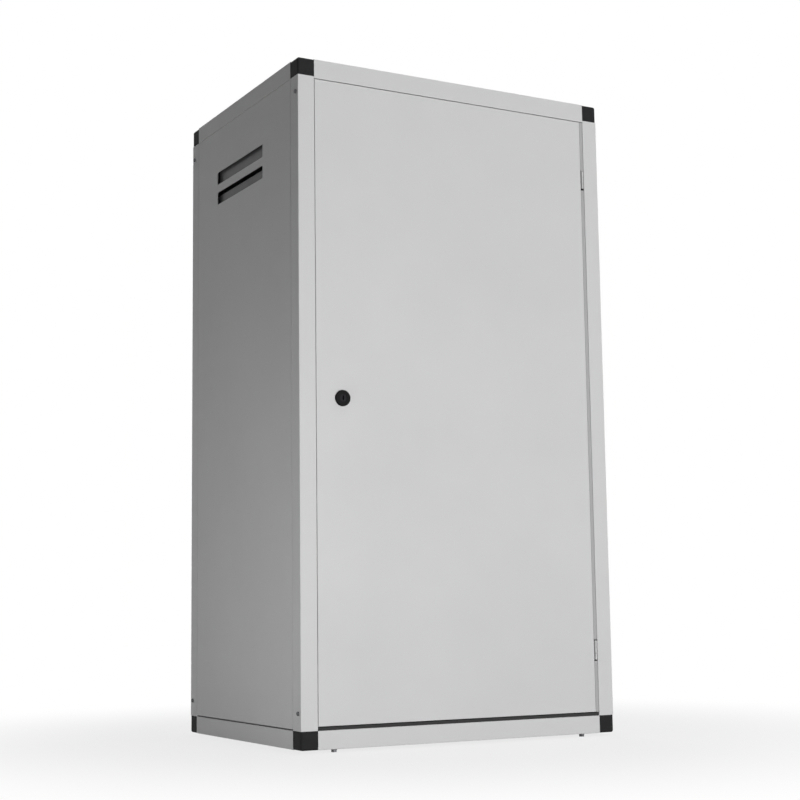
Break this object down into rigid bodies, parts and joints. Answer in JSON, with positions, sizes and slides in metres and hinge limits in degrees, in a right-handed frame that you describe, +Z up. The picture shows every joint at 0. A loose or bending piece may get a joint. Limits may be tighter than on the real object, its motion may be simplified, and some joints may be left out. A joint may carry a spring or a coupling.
{
  "type": "boiler cover cabinet",
  "caption": "Tall box that covers a boiler: square tube frame with black corner joints, sheet panels, vented sides, and a flush hinged door with a cam lock.",
  "frame": {"origin": "on the floor under the middle of the cabinet, at the underside of the bottom screw heads", "axes": "+Z up along the cabinet's height; the door faces -Y; +X to the right when looking at the door"},
  "size_m": [0.509, 0.3982, 0.9492],
  "materials": {
    "frame_lacquer": "pale grey satin powder coat on steel tube",
    "panel_lacquer": "pale grey satin powder coat on folded sheet",
    "strip_lacquer": "mid grey satin powder coat on folded sheet",
    "black_nylon": "moulded black nylon",
    "dark_zinc": "dark zinc plate",
    "zinc_plate": "bright zinc plate",
    "galvanised_sheet": "dull galvanised steel sheet",
    "baffle_lacquer": "dark grey paint on folded sheet",
    "hinge_steel": "dull zinc plate",
    "seal_rubber": "black cellular rubber",
    "lock_black": "black glass-filled nylon",
    "plug_black": "black chromated zinc die casting"
  },
  "bodies": {
    "cabinet": {"corner_joint_bottom_front_left": "black_nylon", "corner_joint_bottom_front_right": "black_nylon", "corner_joint_bottom_rear_left": "black_nylon", "corner_joint_bottom_rear_right": "black_nylon", "corner_joint_top_front_left": "black_nylon", "corner_joint_top_front_right": "black_nylon", "corner_joint_top_rear_left": "black_nylon", "corner_joint_top_rear_right": "black_nylon", "upright_front_left": "frame_lacquer", "upright_front_right": "frame_lacquer", "upright_rear_left": "frame_lacquer", "upright_rear_right": "frame_lacquer", "bottom_rail_front": "frame_lacquer", "bottom_rail_rear": "frame_lacquer", "bottom_rail_left": "frame_lacquer", "bottom_rail_right": "frame_lacquer", "top_rail_front": "frame_lacquer", "top_rail_rear": "frame_lacquer", "top_rail_left": "frame_lacquer", "top_rail_right": "frame_lacquer", "bottom_screw_front_left": "dark_zinc", "bottom_screw_front_right": "dark_zinc", "bottom_screw_rear_left": "dark_zinc", "bottom_screw_rear_right": "dark_zinc", "upright_joint_screws": "dark_zinc", "left_panel": "panel_lacquer", "right_panel": "panel_lacquer", "back_panel": "panel_lacquer", "roof_panel": "panel_lacquer", "floor_panel": "panel_lacquer", "panel_screws": "zinc_plate", "left_vent_baffles": "baffle_lacquer", "right_vent_baffles": "baffle_lacquer", "lower_hinge_frame_leaf": "hinge_steel", "upper_hinge_frame_leaf": "hinge_steel", "lower_hinge_pin": "hinge_steel", "upper_hinge_pin": "hinge_steel", "hinge_frame_screws": "zinc_plate", "door_stop_strip": "galvanised_sheet", "hinge_side_gap_strips": "strip_lacquer", "strip_screws": "zinc_plate", "door_seal": "seal_rubber", "sill_seal": "seal_rubber", "lower_wall_bracket_left": "galvanised_sheet", "lower_wall_bracket_right": "galvanised_sheet", "upper_wall_bracket_left": "galvanised_sheet", "upper_wall_bracket_right": "galvanised_sheet", "wall_bracket_screws": "zinc_plate"},
    "door": {"door_panel": "panel_lacquer", "door_stiffener": "galvanised_sheet", "lower_hinge_door_leaf": "hinge_steel", "upper_hinge_door_leaf": "hinge_steel", "hinge_door_screws": "zinc_plate", "hinge_door_nuts": "zinc_plate", "lock_housing": "lock_black", "lock_nut": "zinc_plate"},
    "lock": {"lock_plug": "plug_black", "lock_cam": "zinc_plate", "cam_screw": "zinc_plate"}
  },
  "joints": [
    {"name": "door_swing", "type": "hinge", "parent": "cabinet", "child": "door", "pos_m": [0.22455, -0.1949, 0.4767], "axis": [0, 0, 1], "range_deg": [0, 120]},
    {"name": "lock_turn", "type": "hinge", "parent": "door", "child": "lock", "pos_m": [-0.1875, -0.1959, 0.4742], "axis": [0, 1, 0], "range_deg": [0, 90]}
  ]
}
